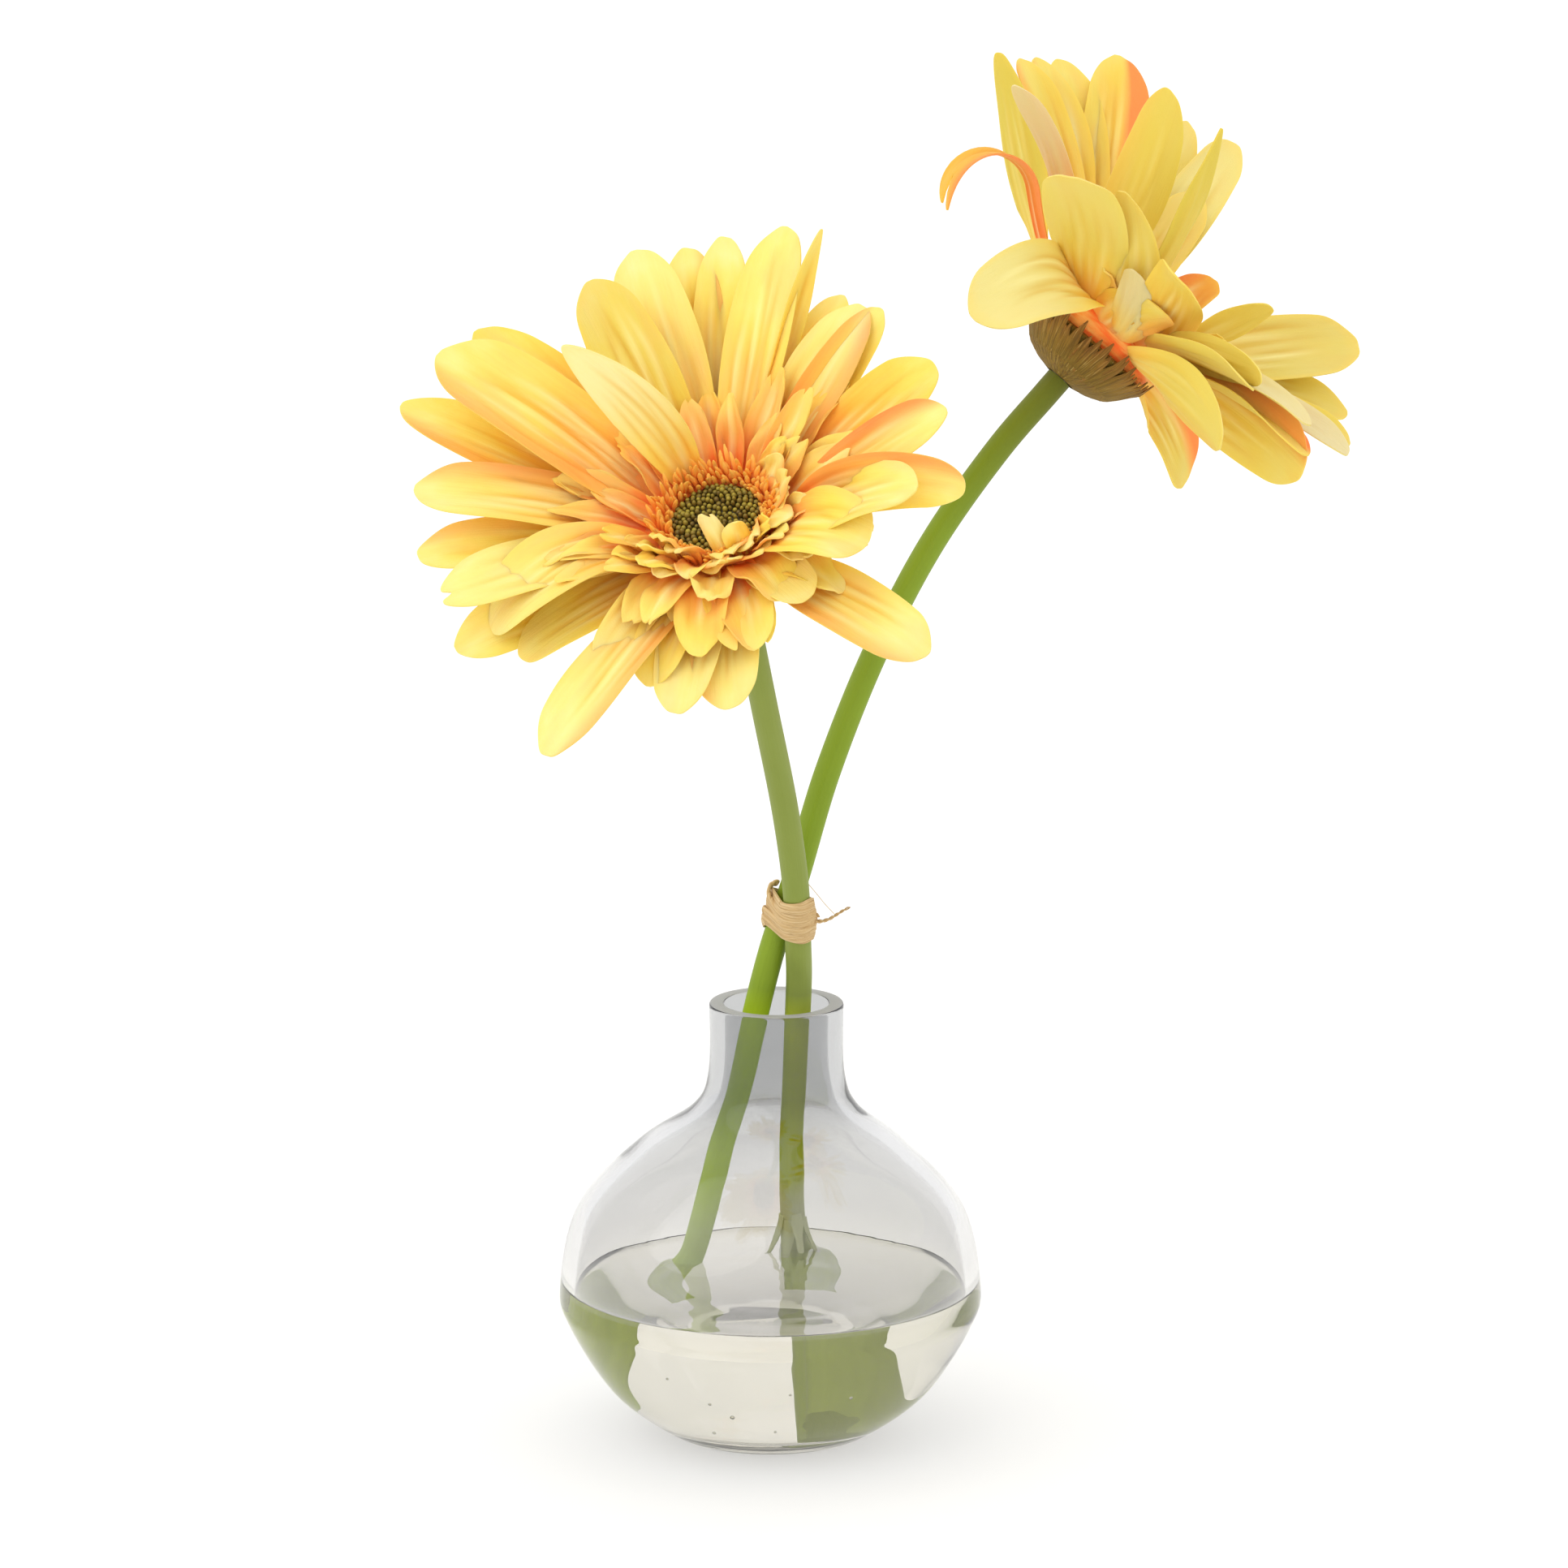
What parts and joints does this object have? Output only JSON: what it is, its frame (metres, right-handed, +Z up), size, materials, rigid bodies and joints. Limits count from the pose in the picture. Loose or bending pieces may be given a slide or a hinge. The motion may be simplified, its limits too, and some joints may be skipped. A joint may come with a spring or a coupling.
{
  "type": "gerberas in a vase",
  "caption": "Long-stemmed yellow gerberas tied with raffia, leaning out of a round clear glass bottle vase with water, as a table decoration.",
  "frame": {"origin": "middle of the vase's flat foot, on the surface it stands on", "axes": "+Z up, +X to the right and +Y to the back as seen from the picture's side"},
  "size_m": [0.2024, 0.1526, 0.2944],
  "materials": {
    "vase_glass": "clear blown glass with a faint grey tint, polished, flat ground rim",
    "water": "clear still water, very slightly warm",
    "stem_muted": "satin muted green stem with fine lengthwise grain",
    "stem_bright": "satin bright green stem, darker and browner near the flower",
    "raffia": "dry tan raffia, fibrous and matt",
    "petal": "matt woven petal cloth, lemon yellow with golden and peach-orange flushes and pressed pleats",
    "fringe": "matt peach-orange florets",
    "disc": "dark olive green buds",
    "calyx": "olive brown overlapping bracts with fine grain"
  },
  "bodies": {
    "root": {"vase": "vase_glass", "water": "water", "stem_a": "stem_muted", "stem_b": "stem_bright", "raffia_tie": "raffia", "bloom_a_petals": "petal", "bloom_a_fringe": "fringe", "bloom_a_disc": "disc", "bloom_a_calyx": "calyx", "bloom_b_petals": "petal", "bloom_b_fringe": "fringe", "bloom_b_disc": "disc", "bloom_b_calyx": "calyx"}
  },
  "joints": []
}
